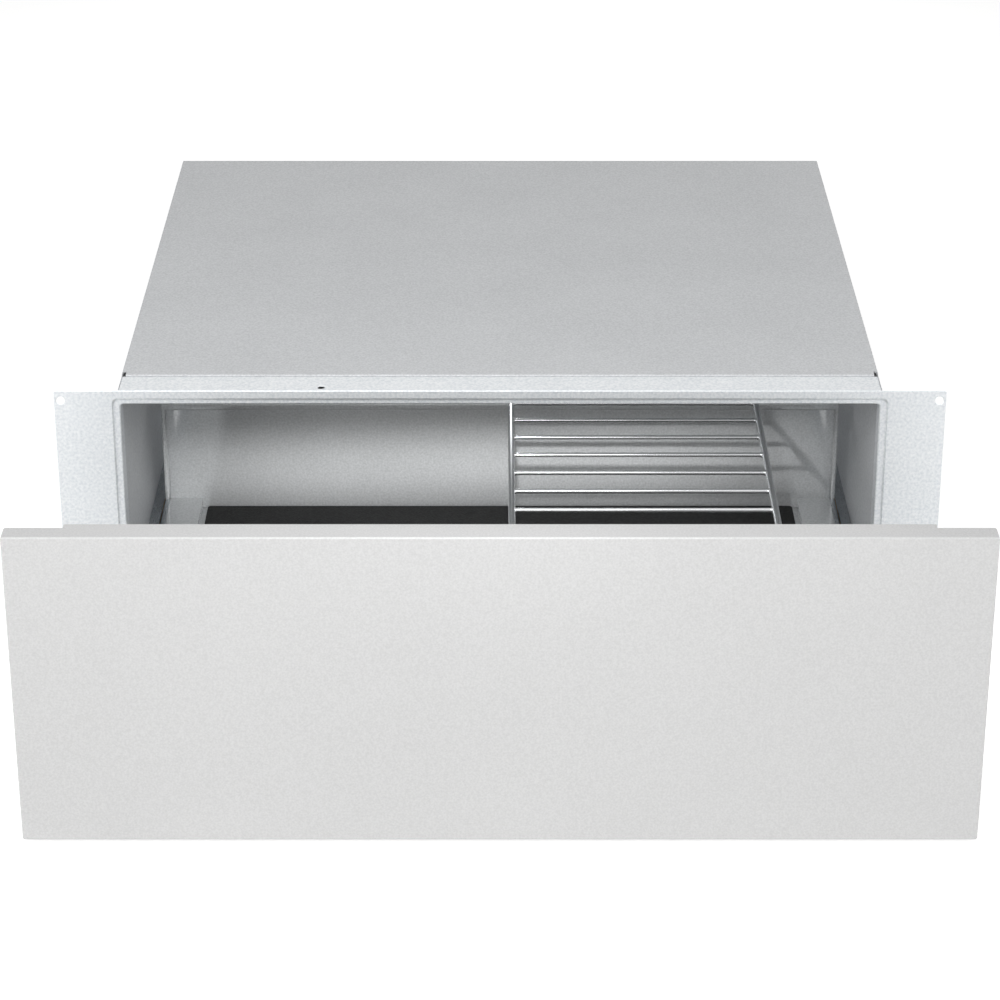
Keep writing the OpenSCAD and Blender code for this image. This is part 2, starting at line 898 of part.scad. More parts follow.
// Strain relief for the mains lead, which is not part of the object
module cable_gland()
{
    bore_d = 9;
    flange_d = gland_d + 8;
    color("black")
        difference() {
            union() {
                rod_y(gland_d, gland_x, gland_z, rear_in - 6, housing_d - sheet_t);
                rod_y(flange_d, gland_x, gland_z, housing_d - sheet_t, housing_d + 3);
                rod_y(gland_d - 3, gland_x, gland_z, housing_d + 3, housing_d + 13);
                rod_y(flange_d, gland_x, gland_z, rear_in - 6, rear_in);
            }
            rod_y(bore_d, gland_x, gland_z, rear_in - 7, housing_d + 14);
        }
}

// ---- closing switch and push latch ----

switch_x = 200;
switch_len = 26;
switch_w = 6;

module reed_switch()
{
    z0 = mouth_z1 + frame_t;
    color("black")
        slab([switch_x - switch_len / 2, lip_step + frame_t, z0],
            [switch_x + switch_len / 2, lip_step + frame_t + switch_w, z0 + switch_w]);
}

module switch_magnet()
{
    z0 = mouth_z1 + frame_t;
    color("gray")
        opened()
            slab([switch_x - switch_len / 2, plate_back - tray_t - plate_t / 3, z0],
                [switch_x + switch_len / 2, plate_back - tray_t, z0 + switch_w]);
}

latch_baffle_gap = 22;
latch_nose = 20;
latch_back = baffle_y - latch_baffle_gap;
latch_front = latch_back - latch_len;
striker_back = latch_front - latch_nose;
striker_t = 3;

module latch_body()
{
    color("dimgray")
        difference() {
            slab([-latch_w / 2, latch_front, sheet_t], [latch_w / 2, latch_back, latch_h]);
            rod_y(plunger_d + 2 * seat_gap, 0, plunger_z, latch_front - eps,
                latch_back - washer_gap);
        }
}

module latch_plunger()
{
    color("white")
        rod_y(plunger_d, 0, plunger_z, striker_back + seat_gap,
            latch_back - washer_gap - seat_gap - plunger_travel);
}

module latch_striker()
{
    flange_d = 24;
    color("silver")
        opened()
            union() {
                slab([-latch_w / 2, striker_back - striker_t, plunger_z - plunger_d],
                    [latch_w / 2, striker_back, tray_under]);
                slab([-latch_w / 2, striker_back - flange_d, tray_under - striker_t],
                    [latch_w / 2, striker_back, tray_under]);
            }
}

// ---- drawer ----

// The beams stand a little outside the ledges' inner edges
beam_in = ledge_in + 2.5 * tray_t;

module side_beam()
{
    color("lightgray")
        opened()
            upright(plate_back, wall_front)
                difference() {
                    translate([beam_in, beam_z0])
                        square([drawer_side - beam_in, beam_h]);
                    translate([beam_in + rail_t, beam_z0 + rail_t])
                        square([drawer_side - beam_in - 2 * rail_t, beam_h - 2 * rail_t]);
                }
}

module runner_cover()
{
    color("silver")
        opened()
            union() {
                slab([ledge_in, plate_back, beam_z1], [ledge_out, wall_front, beam_z1 + tray_t]);
                slab([ledge_in, plate_back, tray_z], [ledge_in + tray_t, wall_front, beam_z1]);
            }
}

module tray_floor()
{
    color("silver")
        opened()
            slab([-beam_in, plate_back, tray_under], [beam_in, wall_front + tray_t, tray_z]);
}

// Two channels across the underside of the tray
module tray_crossbars()
{
    bar_w = 30;
    bar_h = 14;
    color("lightgray")
        opened()
            for (y = [plate_back + drawer_d * 0.3, plate_back + drawer_d * 0.85])
                translate([0, y, 0])
                    difference() {
                        slab([-beam_in, 0, tray_under - bar_h], [beam_in, bar_w, tray_under]);
                        slab([-beam_in - eps, rail_t, tray_under - bar_h - eps],
                            [beam_in + eps, bar_w - rail_t, tray_under - rail_t]);
                    }
}

module front_bracket()
{
    foot_w = 36;
    arm_len = 60;
    bracket_t = 2;
    drop = 4;
    z0 = beam_z0 + drop;
    z1 = tray_under - drop;
    color("lightgray")
        opened()
            union() {
                slab([beam_in - foot_w, plate_back, z0], [beam_in, plate_back + bracket_t, z1]);
                slab([beam_in - bracket_t, plate_back, z0], [beam_in, plate_back + arm_len, z1]);
            }
}

module back_wall_liner()
{
    color("gainsboro")
        opened()
            slab([-liner_hw, wall_front, tray_z], [liner_hw, wall_front + tray_t,
                wall_top - top_hem_h]);
}

// Outer back wall, hemmed at both ends and along the top, folded back over the top and
// notched below, where it passes over the latch
module drawer_back()
{
    y0 = wall_front + tray_t;
    above_runner = slide_z + slide_h / 2 + washer_gap;
    notch_hw = latch_w / 2 + latch_gap;
    color("gainsboro")
        opened()
            union() {
                slab([-wall_hw, y0, above_runner], [wall_hw, y0 + tray_t, wall_top]);
                slab([-drawer_side, y0, latch_h + latch_gap],
                    [drawer_side, y0 + tray_t, above_runner]);
                both_sides()
                    slab([notch_hw, y0, beam_z0],
                        [drawer_side, y0 + tray_t, latch_h + latch_gap]);
                slab([-wall_hw, wall_front, wall_top - top_hem_h], [wall_hw, y0, wall_top]);
                slab([-wall_hw, wall_front, wall_top - tray_t],
                    [wall_hw, wall_front + rim_d, wall_top]);
                slab([-wall_hw, wall_front + rim_d - tray_t, wall_top - fold_w],
                    [wall_hw, wall_front + rim_d, wall_top]);
                both_sides()
                    slab([wall_hw - hem_w, wall_front, above_runner],
                        [wall_hw, y0, wall_top]);
            }
}

module anti_slip_mat()
{
    mat_hw = ledge_in - mat_side_gap;
    mat_corner_r = 3;
    color([0.15, 0.15, 0.15])
        opened()
            translate([0, 0, tray_z])
                linear_extrude(mat_t)
                    round_rect(-mat_hw, mat_hw, plate_back + mat_end_gap,
                        wall_front - mat_end_gap, mat_corner_r);
}

// ---- drawer front ----

// Plate with its front edges and its four corners rounded to radius r
module soft_plate(lo, hi, r)
{
    slab([lo[0] + r, lo[1], lo[2] + r], [hi[0] - r, hi[1], hi[2] - r]);
    slab([lo[0], lo[1] + r, lo[2] + r], [hi[0], hi[1], hi[2] - r]);
    slab([lo[0] + r, lo[1] + r, lo[2]], [hi[0] - r, hi[1], hi[2]]);
    for (z = [lo[2] + r, hi[2] - r]) {
        rod_x(2 * r, lo[1] + r, z, lo[0] + r, hi[0] - r);
        for (x = [lo[0] + r, hi[0] - r]) {
            rod_y(2 * r, x, z, lo[1] + r, hi[1]);
            translate([x, lo[1] + r, z])
                sphere(r);
        }
    }
    for (x = [lo[0] + r, hi[0] - r])
        rod_z(2 * r, x, lo[1] + r, lo[2] + r, hi[2] - r);
}

plate_hw = mouth_hw + plate_overlap;
plate_z0 = panel_z + 1;
plate_z1 = panel_z + panel_h - plate_drop;

panel_screw_x = 250;
panel_screw_in = 34;
panel_screw_z = [tray_z + panel_screw_in, plate_z1 - panel_screw_in];
panel_screw_len = plate_t + panel_t / 2;

module panel_screw_holes()
{
    both_sides()
        for (z = panel_screw_z)
            rod_y(shank_d + 2 * screw_gap, panel_screw_x, z,
                plate_back - panel_screw_len - screw_gap, plate_back + eps);
}

module front_panel_skin()
{
    color("whitesmoke")
        opened()
            difference() {
                soft_plate([-panel_w / 2, panel_front, panel_z],
                    [panel_w / 2, plate_front, panel_z + panel_h], panel_r);
                slab([-panel_w / 2 + skin_t, panel_front + skin_t, panel_z + skin_t],
                    [panel_w / 2 - skin_t, plate_front + eps, panel_z + panel_h - skin_t]);
            }
}

module front_panel_core()
{
    color("burlywood")
        opened()
            difference() {
                slab([-panel_w / 2 + skin_t, panel_front + skin_t, panel_z + skin_t],
                    [panel_w / 2 - skin_t, plate_front - skin_t, panel_z + panel_h - skin_t]);
                panel_screw_holes();
            }
}

module front_panel_back()
{
    color("lightgray")
        opened()
            difference() {
                slab([-panel_w / 2 + skin_t, plate_front - skin_t, panel_z + skin_t],
                    [panel_w / 2 - skin_t, plate_front, panel_z + panel_h - skin_t]);
                panel_screw_holes();
            }
}

// Outline seen from above, with its two front corners rounded
module front_outline(half, y0, y1, r)
{
    translate([-half, y0 + r])
        square([2 * half, y1 - y0 - r]);
    translate([-half + r, y0])
        square([2 * (half - r), r]);
    intersection() {
        translate([-half, y0])
            square([2 * half, r]);
        for (x = [-half + r, half - r])
            translate([x, y0 + r])
                circle(r);
    }
}

module inner_front()
{
    color("whitesmoke")
        opened()
            difference() {
                translate([0, 0, plate_z0])
                    linear_extrude(plate_z1 - plate_z0)
                        front_outline(plate_hw, plate_front, plate_back, plate_r);
                translate([0, 0, plate_z0 + tray_t])
                    linear_extrude(plate_z1 - plate_z0 - 2 * tray_t)
                        front_outline(plate_hw - tray_t, plate_front + tray_t,
                            plate_back - tray_t, plate_r - tray_t);
                slab([-plate_hw + plate_r, plate_front - eps, plate_z0 + tray_t],
                    [plate_hw - plate_r, plate_back - tray_t, plate_z1 - tray_t]);
                panel_screw_holes();
            }
}

module front_seal()
{
    seal_hw = mouth_hw + lip_w + seal_w;
    seal_z0 = mouth_z0 - lip_w - seal_w;
    seal_z1 = mouth_z1 + lip_w + seal_w;
    color("darkgray")
        opened()
            upright(plate_back, plate_back + seal_t)
                difference() {
                    round_rect(-seal_hw, seal_hw, seal_z0, seal_z1, seal_w);
                    translate([-seal_hw + seal_w, seal_z0 + seal_w])
                        square([2 * (seal_hw - seal_w), seal_z1 - seal_z0 - 2 * seal_w]);
                }
}

module touch_sensor_board()
{
    sensor_len = 120;
    color("darkgreen")
        opened()
            slab([-sensor_len / 2, plate_front + tray_t, plate_z1 - tray_t - board_t],
                [sensor_len / 2, plate_back - tray_t, plate_z1 - tray_t]);
}

module panel_screws()
{
    color("silver")
        opened()
            both_sides()
                for (z = panel_screw_z) {
                    rod_y(head_d, panel_screw_x, z, plate_back, plate_back + head_h);
                    rod_y(shank_d, panel_screw_x, z, plate_back - panel_screw_len, plate_back);
                }
}

// ---- lift-out wire rack ----

rack_z = wall_top + side_wire_d / 2 + seat_gap;
hook_y = wall_front + rim_d + wire_bend_r;
last_cross_y = wall_front - cross_wire_d / 2 - side_wire_d;
first_cross_y = last_cross_y - (cross_count - 1) * cross_pitch;
leg_reach = 30;
leg_y = first_cross_y - leg_reach;
leg_z0 = mat_top + seat_gap + foot_h / 3;

// Quarter bend of wire in the Y-Z plane, round the point (y, z)
module wire_bend(x, y, z, start)
{
    translate([x, y, z])
        rotate([90, 0, 90])
            rotate([0, 0, start])
                rotate_extrude(angle = 90, $fn = 64)
                    translate([wire_bend_r, 0])
                        circle(d = side_wire_d, $fn = 32);
}

module wire_rack()
{
    rail_y0 = leg_y + wire_bend_r;
    rail_y1 = hook_y - wire_bend_r;
    bend_z = rack_z - wire_bend_r;
    brace_z = mat_top + 2 * foot_h;
    color("silver")
        opened()
            union() {
                for (x = [rack_x, rack_x + rack_w]) {
                    rod_y(side_wire_d, x, rack_z, rail_y0, rail_y1);
                    wire_bend(x, rail_y0, bend_z, 90);
                    wire_bend(x, rail_y1, bend_z, 0);
                    rod_z(side_wire_d, x, leg_y, leg_z0, bend_z);
                    rod_z(side_wire_d, x, hook_y, wall_top - hook_len, bend_z);
                }
                for (i = [0:cross_count - 1])
                    rod_x(cross_wire_d, first_cross_y + i * cross_pitch, rack_z,
                        rack_x, rack_x + rack_w);
                rod_x(cross_wire_d, leg_y, brace_z, rack_x, rack_x + rack_w);
            }
}

module rack_feet()
{
    color("black")
        opened()
            for (x = [rack_x, rack_x + rack_w])
                difference() {
                    rod_z(foot_d, x, leg_y, mat_top + seat_gap, mat_top + seat_gap + foot_h);
                    rod_z(side_wire_d, x, leg_y, leg_z0, mat_top + seat_gap + foot_h + eps);
                }
}

// ---- all nodes ----

module left()
{
    mirror([1, 0, 0])
        children();
}

housing_shell();
top_cover();
ceiling_liner();
rear_panel();
front_frame();
left() outer_rail();  // left_outer_rail
outer_rail();  // right_outer_rail
left() middle_rail();  // left_middle_rail
middle_rail();  // right_middle_rail
left() inner_rail();  // left_inner_rail
inner_rail();  // right_inner_rail
left() outer_ball_cage();  // left_outer_ball_cage
outer_ball_cage();  // right_outer_ball_cage
left() inner_ball_cage();  // left_inner_ball_cage
inner_ball_cage();  // right_inner_ball_cage
air_baffle();
fan_box();
fan_wheel();
rotor_shaft();
cooling_impeller();
motor_stator();
motor_coil();
heating_element();
element_clips();
overheat_cutout();
air_temperature_probe();
board_case();
control_board();
terminal_block();
cable_gland();
reed_switch();
latch_body();
latch_plunger();
runner_screws();
frame_screws();
rear_screws();
front_panel_skin();
front_panel_core();
front_panel_back();
inner_front();
front_seal();
touch_sensor_board();
switch_magnet();
panel_screws();
left() front_bracket();  // left_front_bracket
front_bracket();  // right_front_bracket
left() side_beam();  // left_side_beam
side_beam();  // right_side_beam
tray_floor();
left() runner_cover();  // left_runner_cover
runner_cover();  // right_runner_cover
tray_crossbars();
back_wall_liner();
drawer_back();
latch_striker();
anti_slip_mat();
wire_rack();
rack_feet();
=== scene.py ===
import json
import math

import bmesh
import bpy
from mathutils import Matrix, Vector

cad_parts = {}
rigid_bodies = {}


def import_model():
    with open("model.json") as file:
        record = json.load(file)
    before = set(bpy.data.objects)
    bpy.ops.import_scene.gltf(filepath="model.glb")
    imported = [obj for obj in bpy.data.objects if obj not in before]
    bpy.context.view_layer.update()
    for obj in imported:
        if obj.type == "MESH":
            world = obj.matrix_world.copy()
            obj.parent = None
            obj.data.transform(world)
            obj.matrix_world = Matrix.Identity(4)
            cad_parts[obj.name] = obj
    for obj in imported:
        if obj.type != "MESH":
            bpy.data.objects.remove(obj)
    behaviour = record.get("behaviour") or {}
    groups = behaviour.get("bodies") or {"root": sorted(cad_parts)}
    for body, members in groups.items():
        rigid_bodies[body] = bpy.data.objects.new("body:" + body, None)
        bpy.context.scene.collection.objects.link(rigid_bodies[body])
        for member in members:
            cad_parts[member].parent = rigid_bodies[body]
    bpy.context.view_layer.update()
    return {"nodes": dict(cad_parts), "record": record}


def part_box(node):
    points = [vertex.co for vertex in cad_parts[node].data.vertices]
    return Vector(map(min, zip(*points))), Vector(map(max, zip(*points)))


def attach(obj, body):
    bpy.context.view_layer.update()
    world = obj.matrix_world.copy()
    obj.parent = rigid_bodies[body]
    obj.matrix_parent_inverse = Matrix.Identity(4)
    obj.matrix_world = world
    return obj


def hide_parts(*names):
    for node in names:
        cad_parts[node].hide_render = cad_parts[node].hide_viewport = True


# Looks of the handleless warming drawer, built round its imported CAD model: X to the right, Y to
# the back and Z up. Lights, camera and floor are given in metres. The pieces and the grain of
# their finishes are given in millimetres, and MM turns them into metres.

for leftover in list(bpy.data.objects):
    bpy.data.objects.remove(leftover)
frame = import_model()

MM = 0.001
X, Y, Z = range(3)
RECORD = frame["record"]
NODES = frame["nodes"]
BODY_OF = {node: body for body, nodes in RECORD["behaviour"]["bodies"].items() for node in nodes}
SLOT_OF = {part["node"]: part["material_slot"] for part in RECORD["subparts"]}

# ---- camera ----

CAMERA_AT = (0, -2.374, 1.2775)
CAMERA_TILT = math.radians(25.093)
CAMERA_LENS = 110.49
CAMERA_REACH = 100

camera_data = bpy.data.cameras.new("camera")
camera_data.lens = CAMERA_LENS
camera_data.clip_end = CAMERA_REACH
camera = bpy.data.objects.new("camera", camera_data)
camera.location = CAMERA_AT
camera.rotation_euler = (math.pi / 2 - CAMERA_TILT, 0, 0)
bpy.context.scene.collection.objects.link(camera)
bpy.context.scene.camera = camera
bpy.context.scene.view_settings.view_transform = "Standard"


# ---- finishes ----

def paint(code):
    """An sRGB hex colour as linear light."""
    shares = [int(code[i:i + 2], 16) / 255 for i in (1, 3, 5)]
    return [s / 12.92 if s <= 0.04045 else ((s + 0.055) / 1.055) ** 2.4 for s in shares] + [1]


def add(mat, kind, sockets=None, **settings):
    """Adds one node. Settings are its own options; sockets hold values, or outputs to link."""
    made = mat.node_tree.nodes.new("ShaderNode" + kind)
    for name, value in settings.items():
        setattr(made, name, value)
    for name, value in (sockets or {}).items():
        if isinstance(value, bpy.types.NodeSocket):
            mat.node_tree.links.new(value, made.inputs[name])
        else:
            made.inputs[name].default_value = value
    return made


def empty_finish(name):
    """A material with nothing in its node tree."""
    mat = bpy.data.materials.new(name)
    mat.use_nodes = True
    mat.node_tree.nodes.clear()
    return mat


def close_finish(mat, shader):
    """Gives the shader to the surface, and the finished material back."""
    add(mat, "OutputMaterial", {"Surface": shader.outputs[0]})
    return mat


# Raw noise stays nearly all between these two
NOISE_LOW, NOISE_HIGH = 0.3, 0.7
GRAIN_DETAIL, CLOUD_DETAIL = 3, 2


def mottle(mat, place, size, detail=GRAIN_DETAIL):
    """A pattern of blotches about size millimetres across, spread over 0 to 1."""
    raw = add(mat, "TexNoise", {"Vector": place, "Scale": 1 / (size * MM), "Detail": detail})
    return add(mat, "MapRange", {"Value": raw.outputs[0], 1: NOISE_LOW, 2: NOISE_HIGH}).outputs[0]


CLOUD_SHARE = 0.15
# Heights of the relief, as shares of the grain
METAL_RELIEF, MOULDED_RELIEF = 0.1, 0.2
MOULDED_RUB, MOULDED_IOR = 0.06, 1.5


def metal(name, light, dark, rough, grain, cloud, metallic=1, rub=0.05, bump=0.1,
          stretch=(1, 1, 1)):
    """Metal with a grain in its tone, gloss and relief, and a faint broad cloud in tone and gloss.
    Its roughness goes rub to each side of rough."""
    mat = empty_finish(name)
    place = add(mat, "TexCoord").outputs["Object"]
    along = add(mat, "Mapping", {"Vector": place, "Scale": stretch}).outputs[0]
    fine = mottle(mat, along, grain)
    broad = mottle(mat, place, cloud, CLOUD_DETAIL)
    blend = add(mat, "Mix", {0: CLOUD_SHARE, 2: fine, 3: broad}).outputs[0]
    tone = add(mat, "Mix", {0: blend, 6: paint(dark), 7: paint(light)}, data_type="RGBA").outputs[2]
    gloss = add(mat, "MapRange", {"Value": blend, 3: rough + rub, 4: rough - rub}).outputs[0]
    relief = add(mat, "Bump", {
        "Height": fine, "Strength": bump, "Distance": METAL_RELIEF * grain * MM})
    return close_finish(mat, add(mat, "BsdfPrincipled", {
        "Base Color": tone, "Metallic": metallic, "Roughness": gloss, "Normal": relief.outputs[0]}))


def moulded(name, light, dark, rough, grain, bump):
    """Plastic, rubber or board, with a grain in its tone, gloss and relief."""
    mat = empty_finish(name)
    place = add(mat, "TexCoord").outputs["Object"]
    fine = mottle(mat, place, grain)
    tone = add(mat, "Mix", {0: fine, 6: paint(dark), 7: paint(light)}, data_type="RGBA").outputs[2]
    gloss = add(mat, "MapRange", {
        "Value": fine, 3: rough + MOULDED_RUB, 4: rough - MOULDED_RUB}).outputs[0]
    relief = add(mat, "Bump", {
        "Height": fine, "Strength": bump, "Distance": MOULDED_RELIEF * grain * MM})
    return close_finish(mat, add(mat, "BsdfPrincipled", {
        "Base Color": tone, "Roughness": gloss, "IOR": MOULDED_IOR, "Normal": relief.outputs[0]}))


# Each finish is named for its real material. Grains finer than a pixel of the picture, about
# 0.8 mm, are drawn as coarse as they need to show.
FINISH = {
    # Hot-dip galvanised sheet: matt, with a fine spangle and most of its light scattered
    "zinc_sheet": metal(
        "galvanised sheet steel", "#DDDFE1", "#C4C6C8",
        rough=0.42, grain=1.8, cloud=90, metallic=0.12),
    # Thin, bright zinc coat: paler than the housing, with a coarser sparkle
    "frame_steel": metal(
        "electro-galvanised sheet steel", "#FCFEFF", "#DDE2E6",
        rough=0.36, grain=2.4, cloud=60, metallic=0.34),
    # Stainless steel with a blasted satin face: soft and even, with a fine sparkle
    "steel_satin": metal(
        "satin stainless steel", "#D5D5D5", "#C7C7C7",
        rough=0.42, grain=1.6, cloud=160, metallic=0.2),
    # Bright-annealed stainless steel: a pale ground that mirrors the ledges beside it
    "steel_polished": metal(
        "bright-annealed stainless steel", "#E2E4E5", "#C6C8C9",
        rough=0.055, grain=1.8, cloud=70, metallic=0.24, rub=0.015, bump=0.01),
    # Bright zinc on roll-formed rails: streaks along the rolling direction
    "runner_steel": metal(
        "zinc-plated steel", "#C2C6C9", "#A3A8AC",
        rough=0.3, grain=0.8, cloud=30, metallic=0.8, stretch=(1, 0.1, 1)),
    # Nickel on drawn steel wire: smooth, with a bright line along each wire
    "chrome_wire": metal(
        "nickel-plated wire", "#E6E8E9", "#DADCDD",
        rough=0.12, grain=1.2, cloud=20, metallic=0.84, rub=0.02, bump=0),
    # Nitrile rubber sheet: nearly black and matt, with a fine pimpled face
    "black_rubber": moulded("black rubber", "#212121", "#171717", rough=0.75, grain=1.8, bump=0.5),
    # Silicone foam strip: grey and soft, with fine pores
    "seal_rubber": moulded("grey silicone", "#8C8F90", "#77797B", rough=0.6, grain=1.0, bump=0.3),
    # Raw medium-density fibreboard: brown, dull and felted
    "board": moulded("fibreboard", "#A88A62", "#8D7049", rough=0.85, grain=1.5, bump=0.4),
    # Glass-filled nylon with a spark-eroded face: an even black grain
    "black_plastic": moulded("black nylon", "#242526", "#151617", rough=0.5, grain=0.8, bump=0.3),
    # White polypropylene, moulded: a low waxy gloss
    "white_plastic": moulded(
        "white polypropylene", "#EBEAE6", "#DDDCD6", rough=0.42, grain=0.9, bump=0.15),
    # Solder mask on a circuit board: green and fairly glossy
    "circuit_green": moulded("solder mask", "#1F5A35", "#163F26", rough=0.35, grain=2.5, bump=0.1),
    # Pressed brass strip: yellow, with a worn gloss
    "brass_cage": metal("brass strip", "#D6B667", "#B08C3E", rough=0.3, grain=0.8, cloud=20),
    # Oiled laminations of electrical steel: dark, in thin layers
    "iron_core": metal(
        "electrical steel", "#76797C", "#515457",
        rough=0.45, grain=0.8, cloud=15, stretch=(1, 6, 1)),
    # Enamelled copper winding: red-brown, in long streaks
    "copper_coil": metal(
        "enamelled copper", "#C27A47", "#8F4F2A",
        rough=0.28, grain=0.6, cloud=8, stretch=(1, 0.1, 1)),
    # Sheath of a tubular heater, browned by heat
    "element_sheath": metal(
        "heat-tinted sheath", "#6B6059", "#433A35", rough=0.45, grain=1.0, cloud=25),
    # Zinc-plated screws and small turned parts: grey, with a dull shine
    "screw_steel": metal(
        "zinc-plated screw steel", "#B4B8BB", "#8E9397", rough=0.32, grain=0.6, cloud=6),
}


# ---- mesh making ----

def millimetres(node):
    """The lowest and highest corner of a CAD node, in millimetres."""
    return [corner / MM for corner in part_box(node)]


# The object that stands for each replaced CAD node
PIECE_OF = {}
# Points nearer than this, in metres, are one
WELD = 1e-6
# Faces that meet flatter than this become one, and edges sharper than this are rounded off
FLAT, SHARP = math.radians(1), math.radians(30)
# Edges less sharp than this are shaded smooth
SMOOTH = math.radians(40)
# Steps of a broken edge, a fold and a round corner
BREAK_STEPS, FOLD_STEPS, CORNER_STEPS = 2, 5, 8
# A rolled edge's step, in degrees, and the points of a circle
ROLL_STEP = 15
ROUND_POINTS = 40


def piece(name, bm, node):
    """Makes an object of the mesh. It stands for the CAD node, and moves with its body."""
    bmesh.ops.recalc_face_normals(bm, faces=bm.faces)
    mesh = bpy.data.meshes.new(name)
    bm.to_mesh(mesh)
    bm.free()
    mesh.polygons.foreach_set("use_smooth", [True] * len(mesh.polygons))
    mesh.set_sharp_from_angle(angle=SMOOTH)
    mesh.materials.append(FINISH[SLOT_OF[node]])
    made = bpy.data.objects.new(name, mesh)
    bpy.context.scene.collection.objects.link(made)
    made.modifiers.new("flat faces stay flat", "WEIGHTED_NORMAL").keep_sharp = True
    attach(made, BODY_OF[node])
    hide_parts(node)
    PIECE_OF[node] = made


def round_off(bm, edges, size, steps):
    """Rounds edges off by so many millimetres, in so many steps."""
    bmesh.ops.bevel(bm, geom=edges, offset=size * MM, offset_type="OFFSET", segments=steps,
                    profile=0.5, affect="EDGES", clamp_overlap=False)


def soft_mesh(node, edge, bend=0.0, bent=None):
    """A node's mesh with its sharp edges rounded off by edge millimetres, and before that the
    edges that bent picks by their middle, in millimetres, by the larger radius bend."""
    bm = bmesh.new()
    bm.from_mesh(NODES[node].data)
    bmesh.ops.remove_doubles(bm, verts=bm.verts, dist=WELD)
    bmesh.ops.dissolve_limit(bm, angle_limit=FLAT, verts=bm.verts, edges=bm.edges)

    def sharp_edges():
        return [e for e in bm.edges if e.is_manifold and e.calc_face_angle() > SHARP]

    if bent:
        folds = [e for e in sharp_edges() if bent((e.verts[0].co + e.verts[1].co) / 2 / MM)]
        round_off(bm, folds, bend, FOLD_STEPS)
    round_off(bm, sharp_edges(), edge, BREAK_STEPS)
    return bm


def loft(bm, loops, cap_first=False, cap_last=False):
    """Joins loops of equally many points with faces, and caps the end loops if asked."""
    rows = [[bm.verts.new(point) for point in loop] for loop in loops]
    for low, high in zip(rows, rows[1:]):
        for i, corner in enumerate(low):
            after = (i + 1) % len(low)
            bm.faces.new((corner, low[after], high[after], high[i]))
    if cap_first:
        bm.faces.new(rows[0])
    if cap_last:
        bm.faces.new(rows[-1])


def round_loop(half, low, high, radius):
    """A rectangle with round corners as flat points: half wide each way, from low to high."""
    centres = ((half - radius, high - radius), (radius - half, high - radius),
               (radius - half, low + radius), (half - radius, low + radius))
    return [(x + radius * math.cos(turn), y + radius * math.sin(turn))
            for corner, (x, y) in enumerate(centres)
            for turn in (math.radians(90 * (corner + step / CORNER_STEPS))
                         for step in range(CORNER_STEPS + 1))]


def full_turn(count):
    """The angles of so many points, evenly round a circle."""
    return [2 * math.pi * i / count for i in range(count)]


def circle_loop(x, y, radius, count=ROUND_POINTS):
    """A circle round (x, y) as flat points."""
    return [(x + radius * math.cos(turn), y + radius * math.sin(turn)) for turn in full_turn(count)]


def rolled(radius, step=ROLL_STEP):
    """Points of a rolled edge: how far each is in from the side, and how far below the face."""
    return [(radius * (1 - math.cos(turn)), radius * (1 - math.sin(turn)))
            for turn in (math.radians(a) for a in range(0, 91, step))]


def upright(loop, depth):
    """Flat points set up in X and Z at a depth, all given in millimetres."""
    return [Vector((x, depth, z)) * MM for x, z in loop]


def level(loop, height):
    """Flat points laid in X and Y at a height, all given in millimetres."""
    return [Vector((x, y, height)) * MM for x, y in loop]


def fill_plane(bm, axis, value):
    """Fills the open edges that lie in one plane, round any holes in it."""
    rim = [e for e in bm.edges if e.is_boundary
           and all(abs(v.co[axis] - value * MM) < WELD for v in e.verts)]
    bmesh.ops.triangle_fill(bm, use_beauty=True, edges=rim)


# ---- front frame: a pressed flange with a joggled lip round the mouth, and a strip over it ----

SHEET_T = 1.2
SHEET_EDGE = 0.55
PLATE_CORNER_R = 0.8
MOUTH_HALF, MOUTH_LOW, MOUTH_HIGH = 320.0, 16.0, millimetres("ceiling_liner")[0].z
MOUTH_R, LIP_R = 3.5, 5.0
# Middle of the joggle's slope out from the mouth's edge, the slope's width and its depth, above
# and below the mouth, and then the first two beside it
LIP_W, LIP_SLOPE, LIP_STEP = 4.8, 3.6, 2.1
SIDE_LIP_W, SIDE_SLOPE = 6.4, 1.4
SLOPE_STEPS = 8
MOUTH_EDGE_R = 1.3
THROAT_END = 19.5
CORNER_HOLE_R, CORNER_HOLE_X, CORNER_HOLE_Z = 3.5, 5.8, 8.9
STRIP_HALF, STRIP_TOP, STRIP_BACK = 321.2, 265.7, 34.5
# X, Y and radius
STRIP_HOLE = (-150.8, 10.9, 3.0)
STRIP_PIP = (-191.0, 12.0, 1.1)
# Shares of the pip's radius, and heights over the strip
PIP_DOME = ((1, -0.2), (0.9, 0.15), (0.5, 0.3))
PIP_POINTS = 16


def side_share(out):
    """How far beside the mouth the lip has the depth that it has out millimetres above it."""
    marks = ((0, 0), (MOUTH_EDGE_R, MOUTH_EDGE_R),
             (LIP_W - LIP_SLOPE / 2, SIDE_LIP_W - SIDE_SLOPE / 2),
             (LIP_W + LIP_SLOPE / 2, SIDE_LIP_W + SIDE_SLOPE / 2))
    for (near, near_side), (far, far_side) in zip(marks, marks[1:]):
        if out <= far:
            break
    return near_side + (far_side - near_side) * (out - near) / (far - near)


def mouth_loop(out, depth):
    """A loop round the mouth, out millimetres above and below its edge."""
    radius = MOUTH_R + (LIP_R - MOUTH_R) * out / LIP_W
    half = MOUTH_HALF + side_share(out)
    return upright(round_loop(half, MOUTH_LOW - out, MOUTH_HIGH + out, radius), depth)


